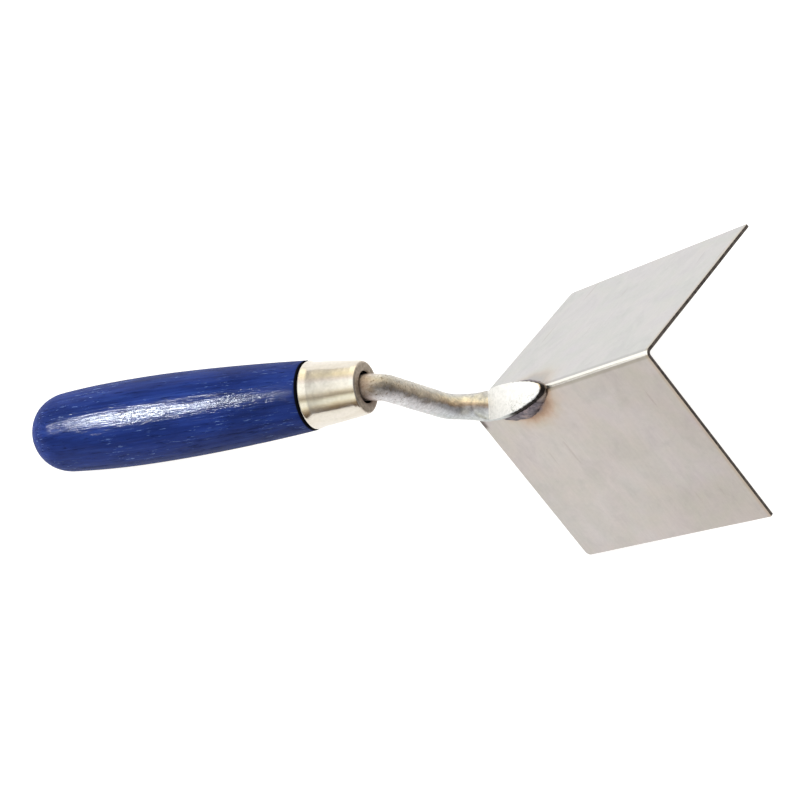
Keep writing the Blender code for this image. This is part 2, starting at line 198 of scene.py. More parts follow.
# ----------------------------------------------------------------------------
# Material helper
# ----------------------------------------------------------------------------
class Look:
    """Wires one procedural material around its Principled shader."""

    def __init__(self, name, matrix=None):
        self.mat = bpy.data.materials.new(name)
        self.mat.use_nodes = True
        self.nt = self.mat.node_tree
        self.bsdf = self.nt.nodes["Principled BSDF"]
        self.tex = self.nt.nodes.new("ShaderNodeTexCoord")
        self.origin = self.tex.outputs["Object"]
        if matrix is not None:          # read positions in the piece's own frame
            back = matrix.inverted()
            n = self.nt.nodes.new("ShaderNodeMapping")
            n.inputs["Location"].default_value = back.to_translation()
            n.inputs["Rotation"].default_value = back.to_euler('XYZ')
            self.nt.links.new(self.origin, n.inputs["Vector"])
            self.origin = n.outputs["Vector"]

    def put(self, socket, value):
        if isinstance(value, bpy.types.NodeSocket):
            self.nt.links.new(value, socket)
        elif hasattr(socket.default_value, "__len__"):
            value = tuple(value)
            if len(socket.default_value) == 4 and len(value) == 3:
                value = (*value, 1.0)
            socket.default_value = value
        else:
            socket.default_value = value

    def set(self, name, value):
        self.put(self.bsdf.inputs[name], value)

    def where(self, scale=(1, 1, 1), rotation=(0, 0, 0), location=(0, 0, 0)):
        n = self.nt.nodes.new("ShaderNodeMapping")
        n.inputs["Scale"].default_value = scale
        n.inputs["Rotation"].default_value = rotation
        n.inputs["Location"].default_value = location
        self.nt.links.new(self.origin, n.inputs["Vector"])
        return n.outputs["Vector"]

    def split(self, vector=None):
        n = self.nt.nodes.new("ShaderNodeSeparateXYZ")
        self.nt.links.new(vector or self.origin, n.inputs[0])
        return n.outputs["X"], n.outputs["Y"], n.outputs["Z"]

    def join(self, x, y, z):
        n = self.nt.nodes.new("ShaderNodeCombineXYZ")
        for s, v in zip(n.inputs, (x, y, z)):
            self.put(s, v)
        return n.outputs[0]

    def noise(self, vector, scale, detail=4.0, rough=0.5, distort=0.0):
        n = self.nt.nodes.new("ShaderNodeTexNoise")
        self.nt.links.new(vector, n.inputs["Vector"])
        n.inputs["Scale"].default_value = scale
        n.inputs["Detail"].default_value = detail
        n.inputs["Roughness"].default_value = rough
        n.inputs["Distortion"].default_value = distort
        return n.outputs["Fac"]

    def cells(self, vector, scale, feature='F1', randomness=1.0):
        n = self.nt.nodes.new("ShaderNodeTexVoronoi")
        n.feature = feature
        self.nt.links.new(vector, n.inputs["Vector"])
        n.inputs["Scale"].default_value = scale
        n.inputs["Randomness"].default_value = randomness
        return n.outputs["Distance"]

    def math(self, op, a, b=0.0, c=0.0, clamp=False):
        n = self.nt.nodes.new("ShaderNodeMath")
        n.operation = op
        n.use_clamp = clamp
        self.put(n.inputs[0], a)
        self.put(n.inputs[1], b)
        if len(n.inputs) > 2:
            self.put(n.inputs[2], c)
        return n.outputs[0]

    def span(self, value, a, b, c=0.0, d=1.0, smooth=True):
        n = self.nt.nodes.new("ShaderNodeMapRange")
        n.interpolation_type = 'SMOOTHSTEP' if smooth else 'LINEAR'
        n.clamp = True
        self.put(n.inputs["Value"], value)
        n.inputs["From Min"].default_value = a
        n.inputs["From Max"].default_value = b
        n.inputs["To Min"].default_value = c
        n.inputs["To Max"].default_value = d
        return n.outputs["Result"]

    def ramp(self, fac, stops, mode='LINEAR'):
        n = self.nt.nodes.new("ShaderNodeValToRGB")
        n.color_ramp.interpolation = mode
        el = n.color_ramp.elements
        while len(el) > 1:
            el.remove(el[-1])
        el[0].position = stops[0][0]
        el[0].color = (*stops[0][1], 1.0)
        for p, c in stops[1:]:
            e = el.new(p)
            e.color = (*c, 1.0)
        self.put(n.inputs[0], fac)
        return n.outputs["Color"]

    def mix(self, fac, a, b, mode='MIX'):
        n = self.nt.nodes.new("ShaderNodeMix")
        n.data_type = 'RGBA'
        n.blend_type = mode
        n.clamp_factor = True
        self.put(n.inputs[0], fac)
        self.put(n.inputs[6], a)
        self.put(n.inputs[7], b)
        return n.outputs[2]

    def blend(self, fac, a, b):
        n = self.nt.nodes.new("ShaderNodeMix")
        n.data_type = 'FLOAT'
        n.clamp_factor = True
        self.put(n.inputs[0], fac)
        self.put(n.inputs[2], a)
        self.put(n.inputs[3], b)
        return n.outputs[0]

    def bump(self, height, strength, distance, normal=None):
        n = self.nt.nodes.new("ShaderNodeBump")
        n.inputs["Strength"].default_value = strength
        n.inputs["Distance"].default_value = distance
        self.put(n.inputs["Height"], height)
        if normal is not None:
            self.nt.links.new(normal, n.inputs["Normal"])
        return n.outputs["Normal"]


# ----------------------------------------------------------------------------
# Materials
# ----------------------------------------------------------------------------
def sheet_steel():
    """Cold-rolled stainless sheet: cloudy, faintly brushed, tinted by the weld, with painted shade on one wing and
    a painted highlight along the fold.
    """
    m = Look("sheet_steel", TOOL)
    x, y, z = m.split()
    p = m.where()
    depth = m.math('ABSOLUTE', y)

    cloud = m.noise(p, 55, 3, 0.55, 0.4)
    cloud2 = m.noise(m.where(location=(0.31, 0.2, 0.7)), 120, 4, 0.6, 0.6)
    fine = m.noise(m.where(location=(0.9, 0.1, 0.4)), 900, 3, 0.6)
    warm = m.ramp(cloud, [(0.30, (0.503, 0.490, 0.513)), (0.46, (0.514, 0.507, 0.516)),
                          (0.55, (0.494, 0.499, 0.498)), (0.70, (0.509, 0.495, 0.521))])
    cool = m.ramp(cloud2, [(0.32, (0.90, 0.90, 0.905)), (0.50, (1.0, 1.0, 1.0)),
                           (0.68, (1.05, 1.045, 1.03))])
    base = m.mix(1.0, warm, cool, 'MULTIPLY')
    # painted shade: the wing on the -y side is painted a little warmer and duller, darker again towards the front,
    # for the shaded floor it reflects
    side = m.span(y, -0.001, 0.001, 1.0, 0.0)
    lower_wing_painted_shade = m.ramp(m.noise(m.where(location=(0.2, 0.8, 0.1)), 38, 3, 0.55, 0.5),
                   [(0.36, (0.985, 0.935, 0.905)), (0.50, (0.960, 0.898, 0.852)),
                    (0.64, (0.940, 0.888, 0.825))])
    lower_wing_front_painted_shade = m.mix(m.span(x, 0.015, 0.075), (1.0, 1.0, 1.0), (0.90, 0.885, 0.875))
    lower_wing_painted_shade = m.mix(1.0, lower_wing_painted_shade, lower_wing_front_painted_shade, 'MULTIPLY')
    base = m.mix(side, base, m.mix(1.0, base, lower_wing_painted_shade, 'MULTIPLY'))
    # handled edges: a straw glow behind the cut front
    glow = m.span(x, 0.0784, 0.0797)
    base = m.mix(m.math('MULTIPLY', glow, 0.8), base,
                 m.mix(1.0, base, (0.97, 0.88, 0.74), 'MULTIPLY'))
    # fine brushing across the wings
    streak = m.noise(m.where(scale=(1.0, 0.03, 0.03)), 2600, 3, 0.65)
    streak2 = m.noise(m.where(scale=(1.0, 0.06, 0.06), rotation=(0, 0, 0.05)), 900, 4, 0.6)
    tone = m.span(streak, 0.25, 0.75, 0.965, 1.03, False)
    tone2 = m.span(streak2, 0.3, 0.7, 0.975, 1.02, False)
    tone = m.math('MULTIPLY', tone, tone2)
    tone = m.math('MULTIPLY', tone, m.span(fine, 0.3, 0.7, 0.975, 1.025, False))
    base = m.mix(1.0, base, m.join(tone, tone, tone), 'MULTIPLY')
    # the odd dark scratch
    scr = m.noise(m.where(scale=(1.0, 0.10, 0.10), rotation=(0, 0, 0.12),
                          location=(0.05, 0.4, 0.2)), 420, 2, 0.4)
    scr = m.span(scr, 0.71, 0.76)
    base = m.mix(m.math('MULTIPLY', scr, 0.22), base, (0.25, 0.2, 0.18))

    # heat tint round the foot of the shank
    across = m.math('MULTIPLY', depth, 1.0)
    dx = m.math('DIVIDE', m.math('SUBTRACT', x, 0.0238), 0.0100)
    dy = m.math('DIVIDE', across, 0.0056)
    d = m.math('SQRT', m.math('ADD', m.math('MULTIPLY', dx, dx), m.math('MULTIPLY', dy, dy)))
    d = m.math('ADD', d, m.span(m.noise(p, 260, 3, 0.6), 0.2, 0.8, -0.16, 0.16, False))
    tint = m.ramp(m.math('DIVIDE', d, 3.0),
                  [(0.30, (0.34, 0.28, 0.29)), (0.36, (0.62, 0.42, 0.29)),
                   (0.42, (0.90, 0.72, 0.58)), (0.48, (0.97, 0.90, 0.81)),
                   (0.57, (1.0, 0.985, 0.96)), (0.68, (1.0, 1.0, 1.0))])
    strength = m.blend(side, 0.40, 0.95)
    base = m.mix(strength, base, m.mix(1.0, base, tint, 'MULTIPLY'))

    # painted highlight along the fold, edged by lines of painted shade on either side
    fold_low_side_painted_shade = m.math('MULTIPLY', m.span(y, -0.00170, -0.00130), m.span(y, -0.00065, -0.00085))
    base = m.mix(m.math('MULTIPLY', fold_low_side_painted_shade, 0.55), base,
                 m.mix(1.0, base, (0.66, 0.66, 0.56), 'MULTIPLY'))
    # painted shade on the upper side of the fold
    shoulder = m.math('MULTIPLY', m.span(y, 0.00170, 0.00130), m.span(y, 0.00065, 0.00085))
    base = m.mix(m.math('MULTIPLY', shoulder, 0.40), base,
                 m.mix(1.0, base, (0.72, 0.72, 0.71), 'MULTIPLY'))
    # painted highlight: the top of the fold is painted bright
    fold = m.math('MULTIPLY', m.span(depth, 0.00046, 0.00076, 1.0, 0.0),
                  m.span(z, -0.0016, -0.0011))
    base = m.mix(fold, base, (0.76, 0.745, 0.695))
    # painted shadow under the heel of the foot, where the rod overhangs the wing
    heel_painted_shadow = m.math('MULTIPLY', m.span(x, 0.0026, 0.0008), m.span(y, -0.0058, -0.0046))
    heel_painted_shadow = m.math('MULTIPLY', heel_painted_shadow, m.span(y, -0.0022, -0.0032))
    base = m.mix(m.math('MULTIPLY', heel_painted_shadow, 0.80), base, (0.07, 0.05, 0.045))

    m.set("Base Color", base)
    m.set("Metallic", 1.0)
    rough = m.span(cloud2, 0.3, 0.7, 0.36, 0.46, False)
    rough = m.math('ADD', rough, m.span(streak, 0.3, 0.7, -0.02, 0.02, False))
    rough = m.blend(fold, rough, 0.28)
    m.set("Roughness", rough)
    n = m.bump(streak, 0.035, 0.0002)
    n = m.bump(m.noise(p, 70, 2, 0.5), 0.12, 0.0010, n)
    n = m.bump(scr, 0.15, 0.0001, n)
    m.set("Normal", n)
    return m.mat


def edge_steel():
    """Sheared, dull edges of the blade, painted near black for the shade on their faces."""
    m = Look("sheared_edge_painted_shade", TOOL)
    p = m.where()
    a = m.noise(m.where(scale=(1, 1, 1)), 700, 4, 0.6)
    # painted shade: the edge faces are coloured dark
    base = m.ramp(a, [(0.3, (0.085, 0.070, 0.065)), (0.5, (0.14, 0.120, 0.108)),
                      (0.7, (0.24, 0.205, 0.18))])
    m.set("Base Color", base)
    m.set("Metallic", 1.0)
    m.set("Roughness", m.span(a, 0.3, 0.7, 0.38, 0.55, False))
    m.set("Normal", m.bump(m.noise(p, 1500, 3, 0.6), 0.3, 0.0001))
    return m.mat


def rod_steel():
    """Bare bent rod: mottled grey, ground bright on the foot, burnt by the weld, with painted reflection bands and
    painted shade.
    """
    m = Look("bent_rod_steel", TOOL)
    x, y, z = m.split()
    p = m.where()
    big = m.noise(p, 190, 4, 0.6, 0.5)
    small = m.noise(m.where(location=(0.2, 0.5, 0.1)), 900, 4, 0.65, 0.4)
    base = m.ramp(big, [(0.30, (0.22, 0.205, 0.19)), (0.47, (0.345, 0.325, 0.30)),
                        (0.60, (0.43, 0.405, 0.37)), (0.72, (0.37, 0.35, 0.34))])
    # painted reflection bands round the rod: grey-lilac below, a dark line, brown and tan above it, grey on top
    sway = m.span(m.noise(m.where(scale=(1, 1, 0.4)), 330, 4, 0.65, 0.4), 0.2, 0.8,
                  -0.0016, 0.0016, False)
    round_ = m.span(m.math('ADD', y, sway), -0.0040, 0.0040, 0.0, 1.0, False)
    rod_painted_reflection_bands = m.ramp(round_, [(0.00, (0.52, 0.52, 0.55)), (0.24, (0.42, 0.41, 0.44)),
                            (0.34, (0.17, 0.155, 0.155)), (0.43, (0.27, 0.22, 0.17)),
                            (0.58, (0.44, 0.385, 0.31)), (0.74, (0.40, 0.38, 0.34)),
                            (0.92, (0.50, 0.49, 0.475))])
    base = m.mix(0.72, base, rod_painted_reflection_bands)
    tone = m.span(small, 0.3, 0.7, 0.88, 1.66, False)
    base = m.mix(1.0, base, m.join(tone, tone, tone), 'MULTIPLY')
    # rusty specks, thick near the ferrule
    specks = m.span(m.noise(m.where(location=(0.7, 0.3, 0.9)), 1500, 3, 0.7), 0.56, 0.66)
    near = m.span(z, 0.026, 0.036)
    base = m.mix(m.math('MULTIPLY', specks, m.blend(near, 0.18, 0.75)), base,
                 (0.17, 0.115, 0.065))
    # temper colours along the last stretch, laid as bands across the rod that also paint its reflection bands:
    # grey, straw, brown, blue-grey
    drift = m.span(m.noise(m.where(scale=(0.5, 1, 0.5)), 420, 3, 0.6), 0.2, 0.8, -0.0009, 0.0009, False)
    band = m.span(m.math('ADD', y, drift), -0.0044, 0.0044, 0.0, 1.0, False)
    temper_and_reflection_bands = m.ramp(band, [(0.02, (0.40, 0.42, 0.42)), (0.20, (0.42, 0.44, 0.47)),
                           (0.33, (0.30, 0.30, 0.33)), (0.42, (0.27, 0.20, 0.15)),
                           (0.49, (0.46, 0.36, 0.25)), (0.58, (0.66, 0.58, 0.43)),
                           (0.70, (0.50, 0.48, 0.42)), (0.84, (0.36, 0.36, 0.37)),
                           (1.00, (0.44, 0.44, 0.45))])
    temper_and_reflection_bands = m.mix(1.0, temper_and_reflection_bands, m.join(tone, tone, tone), 'MULTIPLY')
    warm = m.math('MULTIPLY', m.span(z, 0.024, 0.012), m.span(x, -0.004, 0.003))
    base = m.mix(m.math('MULTIPLY', warm, 0.80), base, temper_and_reflection_bands)
    # brown stain and painted shade where the rod leaves the ferrule
    out = m.math('ADD', m.math('SUBTRACT', m.math('MULTIPLY', x, 0.869),
                               m.math('MULTIPLY', z, 0.4947)), 0.010854)
    ring = m.math('MULTIPLY', m.span(out, 0.0042, 0.0006), m.span(z, 0.026, 0.032))
    stain_and_painted_shade = m.ramp(m.noise(p, 620, 4, 0.65, 0.5), [(0.32, (0.13, 0.075, 0.05)),
                                                   (0.50, (0.30, 0.20, 0.15)),
                                                   (0.68, (0.50, 0.42, 0.36))])
    base = m.mix(m.math('MULTIPLY', ring, 0.62), base, stain_and_painted_shade)

    # the ground flat, ground bright and also painted near white for its highlight
    flat = m.math('MULTIPLY', m.span(x, 0.01085, 0.01100), m.span(z, 0.00137, 0.00144))
    flat = m.math('MULTIPLY', flat, m.span(z, 0.00170, 0.00158))
    patch = m.span(m.noise(m.where(scale=(1, 1.2, 1)), 760, 5, 0.75, 1.2), 0.50, 0.64)
    where = m.math('MULTIPLY', m.span(y, 0.0005, -0.0022), m.span(x, 0.017, 0.021))
    where = m.math('ADD', where, m.math('MULTIPLY', m.span(x, 0.0145, 0.0115), 0.35), clamp=True)
    haze = m.span(m.noise(m.where(location=(0.6, 0.2, 0.3)), 700, 4, 0.7, 0.5), 0.35, 0.70)
    ground_flat_and_highlight = m.mix(haze, (0.86, 0.86, 0.855), (0.73, 0.735, 0.73))
    ground_flat_and_highlight = m.mix(m.math('MULTIPLY', patch, m.math('MULTIPLY', where, 0.75)),
                  ground_flat_and_highlight, (0.36, 0.37, 0.355))
    base = m.mix(flat, base, ground_flat_and_highlight)

    # painted shadow: the side walls below the flat are painted near black
    ragged = m.span(m.noise(m.where(location=(0.1, 0.9, 0.5)), 1100, 4, 0.7), 0.25, 0.75,
                    -0.00022, 0.00022, False)
    wall = m.math('MULTIPLY', m.span(x, 0.0175, 0.0225),
                  m.span(m.math('ADD', z, ragged), 0.00122, 0.00100))
    # near-black colour of the painted shadow on the walls
    scale = m.ramp(m.noise(p, 900, 3, 0.6), [(0.3, (0.012, 0.010, 0.010)),
                                             (0.7, (0.06, 0.05, 0.048))])
    base = m.mix(wall, base, scale)
    m.set("Base Color", base)
    m.set("Metallic", m.math('SUBTRACT', 1.0, m.math('MULTIPLY', flat, 0.60)))
    rough = m.span(small, 0.3, 0.7, 0.40, 0.58, False)
    rough = m.math('ADD', rough, m.math('MULTIPLY', specks, 0.12))
    rough = m.blend(flat, rough, 0.55)
    rough = m.blend(wall, rough, 0.75)
    m.set("Roughness", rough)
    calm = m.math('SUBTRACT', 1.0, m.math('MULTIPLY', flat, 0.88))
    n = m.bump(m.math('MULTIPLY', small, calm), 0.30, 0.00025)
    n = m.bump(m.math('MULTIPLY', big, calm), 0.25, 0.0007, n)
    n = m.bump(m.noise(m.where(scale=(1.0, 0.10, 1.0)), 2400, 2), 0.12, 0.0001, n)
    m.set("Normal", n)
    return m.mat


def weld_steel():
    """Fillet weld: violet grey ripples, painted shade at the root, straw at the toe."""
    m = Look("weld_steel", TOOL)
    x, y, z = m.split()
    p = m.where()
    a = m.noise(p, 420, 4, 0.6, 0.6)
    b = m.noise(m.where(location=(0.4, 0.1, 0.8)), 1600, 3, 0.6)
    base = m.ramp(a, [(0.30, (0.070, 0.060, 0.072)), (0.48, (0.135, 0.118, 0.140)),
                      (0.60, (0.24, 0.20, 0.22)), (0.72, (0.36, 0.29, 0.28))])
    tone = m.span(b, 0.3, 0.7, 0.75, 1.15, False)
    base = m.mix(1.0, base, m.join(tone, tone, tone), 'MULTIPLY')
    # straw towards the nose
    nose = m.span(x, 0.0300, 0.0350)
    base = m.mix(m.math('MULTIPLY', nose, 0.65), base, (0.33, 0.27, 0.22))
    # painted shade in the groove where the bead meets the foot
    bead_root_painted_shade = m.span(z, -0.0009, -0.0003)
    base = m.mix(m.math('MULTIPLY', bead_root_painted_shade, 0.75), base, (0.03, 0.026, 0.026))
    m.set("Base Color", base)
    m.set("Metallic", 1.0)
    m.set("Roughness", m.span(b, 0.3, 0.7, 0.36, 0.60, False))
    n = m.bump(b, 0.35, 0.0002)
    n = m.bump(a, 0.30, 0.0006, n)
    m.set("Normal", n)
    return m.mat


def plated_steel():
    """Bright plated ferrule with fine drawing lines and light handling marks."""
    m = Look("plated_steel", AXIS)
    x, y, z = m.split()
    p = m.where()
    a = m.noise(m.where(scale=(1, 1, 0.35)), 260, 4, 0.6, 0.5)
    b = m.noise(m.where(location=(0.3, 0.3, 0.3)), 1300, 3, 0.6)
    base = m.ramp(a, [(0.30, (0.585, 0.535, 0.465)), (0.50, (0.625, 0.585, 0.520)),
                      (0.70, (0.650, 0.605, 0.550))])
    tone = m.span(b, 0.3, 0.7, 0.95, 1.04, False)
    base = m.mix(1.0, base, m.join(tone, tone, tone), 'MULTIPLY')
    # painted dark reflection on the front face and rim
    stain_and_painted_shade = m.span(z, -0.00050, -0.00012)
    front_face_painted_reflection = m.ramp(m.noise(p, 700, 4, 0.7, 0.8), [(0.30, (0.17, 0.135, 0.10)),
                                                  (0.52, (0.36, 0.30, 0.25)),
                                                  (0.70, (0.50, 0.43, 0.36))])
    base = m.mix(m.math('MULTIPLY', stain_and_painted_shade, 0.85), base, front_face_painted_reflection)
    m.set("Base Color", base)
    m.set("Metallic", 1.0)
    rough = m.span(a, 0.3, 0.7, 0.13, 0.20, False)
    rough = m.blend(stain_and_painted_shade, rough, 0.42)
    m.set("Roughness", rough)
    n = m.bump(m.noise(m.where(scale=(1, 1, 0.05)), 900, 2), 0.04, 0.0003)
    n = m.bump(b, 0.05, 0.00012, n)
    n = m.bump(m.noise(p, 120, 2), 0.10, 0.0012, n)
    m.set("Normal", n)
    return m.mat


def blue_wood():
    """Blue-stained, lacquered hardwood: long pores, streaks and small dents."""
    m = Look("blue_lacquered_wood", AXIS)
    x, y, z = m.split()
    long = m.where(scale=(1, 1, 0.055))
    grain = m.noise(long, 620, 5, 0.62, 0.25)
    fibre = m.noise(m.where(scale=(1, 1, 0.03), location=(0.3, 0.1, 0.0)), 1900, 3, 0.6)
    cloud = m.noise(m.where(scale=(1, 1, 0.35), location=(0.1, 0.7, 0.2)), 130, 3, 0.55, 0.3)
    base = m.ramp(grain, [(0.28, (0.0062, 0.0150, 0.088)), (0.44, (0.0085, 0.0205, 0.118)),
                          (0.56, (0.0105, 0.0250, 0.138)), (0.70, (0.0150, 0.0350, 0.165))])
    tone = m.math('MULTIPLY', m.span(cloud, 0.3, 0.7, 0.72, 1.22, False),
                  m.span(fibre, 0.3, 0.7, 0.88, 1.12, False))
    base = m.mix(1.0, base, m.join(tone, tone, tone), 'MULTIPLY')
    # pale flecks where the stain is rubbed through, in short dashes along the grain
    fleck = m.noise(m.where(scale=(1, 1, 0.10), location=(0.9, 0.4, 0.6)), 2000, 4, 0.65, 0.2)
    fleck = m.span(fleck, 0.60, 0.68)
    patchy = m.span(m.noise(m.where(location=(0.5, 0.2, 0.7)), 90, 2), 0.40, 0.60)
    base = m.mix(m.math('MULTIPLY', m.math('MULTIPLY', fleck, patchy), 0.70), base,
                 (0.13, 0.21, 0.46))
    pit = m.noise(m.where(scale=(1, 1, 0.09), location=(0.15, 0.8, 0.35)), 1800, 4, 0.65, 0.2)
    pit = m.span(pit, 0.575, 0.65)
    base = m.mix(m.math('MULTIPLY', pit, 0.55), base, (0.0020, 0.0045, 0.026))
    # painted shadow in the gap behind the ferrule
    ferrule_gap_painted_shadow = m.span(z, -0.01835, -0.01800)
    base = m.mix(ferrule_gap_painted_shadow, base, (0.004, 0.004, 0.006))
    m.set("Base Color", base)
    m.set("Metallic", 0.0)
    m.set("Roughness", m.span(grain, 0.3, 0.7, 0.42, 0.55, False))
    m.set("Specular IOR Level", 0.0)
    m.set("Coat Weight", m.blend(m.math('MAXIMUM', ferrule_gap_painted_shadow, m.math('MULTIPLY', pit, 0.7)), 0.17, 0.01))
    m.set("Coat Roughness", 0.15)
    m.set("Coat IOR", 1.5)
    pores = m.noise(m.where(scale=(1, 1, 0.045), location=(0.2, 0.6, 0.1)), 1500, 4, 0.65)
    strand = m.noise(m.where(scale=(1, 1, 0.08), location=(0.7, 0.3, 0.2)), 1250, 3, 0.55, 0.2)
    coat = m.bump(m.span(pores, 0.30, 0.62), 0.16, 0.00020)
    coat = m.bump(strand, 0.28, 0.00030, coat)
    coat = m.bump(m.noise(m.where(scale=(1, 1, 0.45)), 420, 3, 0.6, 0.4), 0.22, 0.0006, coat)
    coat = m.bump(m.noise(m.where(scale=(1, 1, 0.5), location=(0.6, 0.1, 0.4)), 130, 2, 0.5), 0.16,
                  0.0012, coat)
    coat = m.bump(fleck, -0.25, 0.0003, coat)
    coat = m.bump(pit, -0.35, 0.0003, coat)
    m.set("Coat Normal", coat)
    n = m.bump(m.span(pores, 0.30, 0.62), 0.25, 0.0003)
    m.set("Normal", n)
    return m.mat


def resin():
    """Cured amber adhesive in the bore."""
    m = Look("cured_resin", AXIS)
    a = m.noise(m.where(), 350, 4, 0.6, 0.5)
    m.set("Base Color", m.ramp(a, [(0.3, (0.30, 0.19, 0.07)), (0.6, (0.46, 0.33, 0.14)),
                                   (0.75, (0.55, 0.43, 0.22))]))
    m.set("Roughness", m.span(a, 0.3, 0.7, 0.25, 0.45, False))
    m.set("Normal", m.bump(a, 0.3, 0.0005))
    return m.mat


SHEET = sheet_steel()
EDGE = edge_steel()
ROD = rod_steel()
WELD = weld_steel()
PLATE = plated_steel()
WOOD = blue_wood()
RESIN = resin()


# ----------------------------------------------------------------------------
# Blade
# ----------------------------------------------------------------------------
def build_blade():
    arc_half = FOLD_RADIUS * PI / 4
    reach = arc_half + (WING_WIDTH - FOLD_RADIUS)      # developed half width

    def near(values, length, step):
        """Distances along a side: fine at both ends, regular between."""
        lo_end, hi_end = values
        pts = [0.0] + lo_end
        start, stop = lo_end[-1] if lo_end else 0.0, length - (hi_end[-1] if hi_end else 0.0)
        n = max(1, round((stop - start) / step))
        pts += [start + (stop - start) * i / n for i in range(1, n + 1)]
        pts += [length - v for v in reversed(hi_end[:-1])] if hi_end else []
        pts += [length] if hi_end else []
        return pts

    xs = near(([v * MM for v in (0.2, 0.45, 0.8, 1.2, 1.6)],
               [v * MM for v in (0.06, 0.14, 0.24, 0.35)]), BLADE_LENGTH, 1.3 * MM)
    flat = near(([], [v * MM for v in (0.2, 0.45, 0.7, 1.15, 1.6)]), reach - arc_half, 1.3 * MM)
    arc_steps = 14
    side = [arc_half * i / (arc_steps / 2) for i in range(int(arc_steps / 2))]
    side += [arc_half + v for v in flat]
    ss = [-v for v in reversed(side[1:])] + side

    def place(x, s):
        sign = 1 if s >= 0 else -1
        s = abs(s)
        # round the corners of the developed sheet
        for edge, radius in ((0, REAR_CORNER_RADIUS), (1, FRONT_CORNER_RADIUS)):
            dx = (radius - x) if edge == 0 else (x - (BLADE_LENGTH - radius))
            ds = s - (reach - radius)
            if dx > 0 and ds > 0:
                a, b = dx / radius, ds / radius
                a2, b2 = a * math.sqrt(1 - b * b / 2), b * math.sqrt(1 - a * a / 2)
                x = radius - a2 * radius if edge == 0 else BLADE_LENGTH - radius + a2 * radius
                s = reach - radius + b2 * radius
        if s < arc_half:
            t = s / FOLD_RADIUS
            y = FOLD_RADIUS * math.sin(t)
            z = -FOLD_RADIUS * math.sqrt(2) + FOLD_RADIUS * math.cos(t)
            ny, nz = math.sin(t), math.cos(t)
        else:
            d = FOLD_RADIUS + (s - arc_half)
            y, z = d * math.sqrt(0.5), -d * math.sqrt(0.5)
            ny = nz = math.sqrt(0.5)
        # a hand tool is never quite flat: slow waves, a pull near the weld
        out = 0.05 * MM * wobble(x, sign * s, 3.0, 26 * MM) * ease(2 * MM, 12 * MM, s)
        out += 0.03 * MM * wobble(x, sign * s, 7.0, 9 * MM) * ease(4 * MM, 10 * MM, s)
        out -= 0.05 * MM * math.exp(-(((x - 22 * MM) / (14 * MM)) ** 2
                                      + ((s - 13 * MM) / (7 * MM)) ** 2))
        nick = 0.05 * MM * wobble(x, sign * s, 1.0, 2.2 * MM)
        if x < 0.01 * MM:
            x += max(0.0, nick)
        y, z = y + ny * out, z + nz * out
        return Vector((x, sign * y, z))

    bm = bmesh.new()
    grid = [[bm.verts.new(place(x, s)) for s in ss] for x in xs]
    for a, b in zip(grid, grid[1:]):
        bridge(bm, a, b, close=False)
    for f in bm.faces:
        if f.normal.length == 0:
            f.normal_update()
    bm.normal_update()
    up = sum((f.normal.z for f in bm.faces))
    if up < 0:
        bmesh.ops.reverse_faces(bm, faces=bm.faces)
    mesh = bpy.data.meshes.new("folded_blade")
    bm.to_mesh(mesh)
    bm.free()
    mesh.transform(TOOL)
    ob = bpy.data.objects.new("folded_blade", mesh)
    bpy.context.scene.collection.objects.link(ob)
    mesh.materials.append(SHEET)
    mesh.materials.append(EDGE)
    skin = ob.modifiers.new("sheet", 'SOLIDIFY')
    skin.thickness = BLADE_THICKNESS
    skin.offset = -1.0
    skin.use_even_offset = True
    skin.material_offset_rim = 1
    soft = ob.modifiers.new("dulled_edges", 'BEVEL')
    soft.width = 0.055 * MM
    soft.segments = 2
    soft.limit_method = 'ANGLE'
    soft.angle_limit = math.radians(60)
    soft.use_clamp_overlap = True
    apply_modifiers(ob)
    shade(ob, 38)
    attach(ob, "root")
    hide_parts("blade")
    return ob


# ----------------------------------------------------------------------------
# Foot outline, shared by the shank and the two welds
# ----------------------------------------------------------------------------
FLAT_Z = 1.5 * MM
FLAT_START = 11.0 * MM
FOOT_SHIFT = -0.60 * MM                 # the foot sits a little off the ridge
NOSE_X = 35.6 * MM
HALF_WIDTH = [(9.5, 3.95), (11.0, 4.38), (13.0, 4.70), (15.5, 4.85), (18.0, 4.75),
              (21.0, 4.50), (24.0, 4.18), (26.3, 3.80), (28.4, 3.38), (30.4, 2.90),
              (32.2, 2.36), (33.6, 1.86), (34.6, 1.36), (35.2, 0.86), (35.6, 0.0)]


def outline(t):
    """Point and outward normal on the -y or +y side, t from 0 (rear) to 1 (nose)."""
    def at(t):
        a = t * PI / 2
        x = lerp(FLAT_START, NOSE_X, math.sin(a) ** 1.15)
        k = x / MM
        w = spline(k, HALF_WIDTH) * MM
        w += ease(16, 20, k) * ease(35.4, 33, k) * MM * (0.13 * wobble(x, 0, 4.2, 1.5 * MM)
                                                       + 0.07 * wobble(x, 0, 9.1, 0.6 * MM))
        # round the very tip
        tip = (NOSE_X - x)
        w = min(w, math.sqrt(max(0.0, 2 * 1.1 * MM * tip)) * 1.1 + 0.0)
        return x, w
    x, w = at(t)
    x0, w0 = at(max(0.0, t - 0.004))
    x1, w1 = at(min(1.0, t + 0.004))
    dx, dw = x1 - x0, w1 - w0
    n = math.hypot(dx, dw)
    nx, nw = (-dw / n, dx / n)
    if t > 0.9999:
        nx, nw = 1.0, 0.0
    return x, w, nx, nw


def saddle(y):
    return -math.hypot(y, 1.15 * MM) + 0.80 * MM


SIDES = 96


def rod_ring(x, z, h):
    ring = []
    for i in range(SIDES):
        a = 2 * PI * i / SIDES
        y, n = ROD_RADIUS * math.cos(a), ROD_RADIUS * math.sin(a)
        ring.append(Vector((x - n * math.sin(h), y, z + n * math.cos(h))))
    return ring


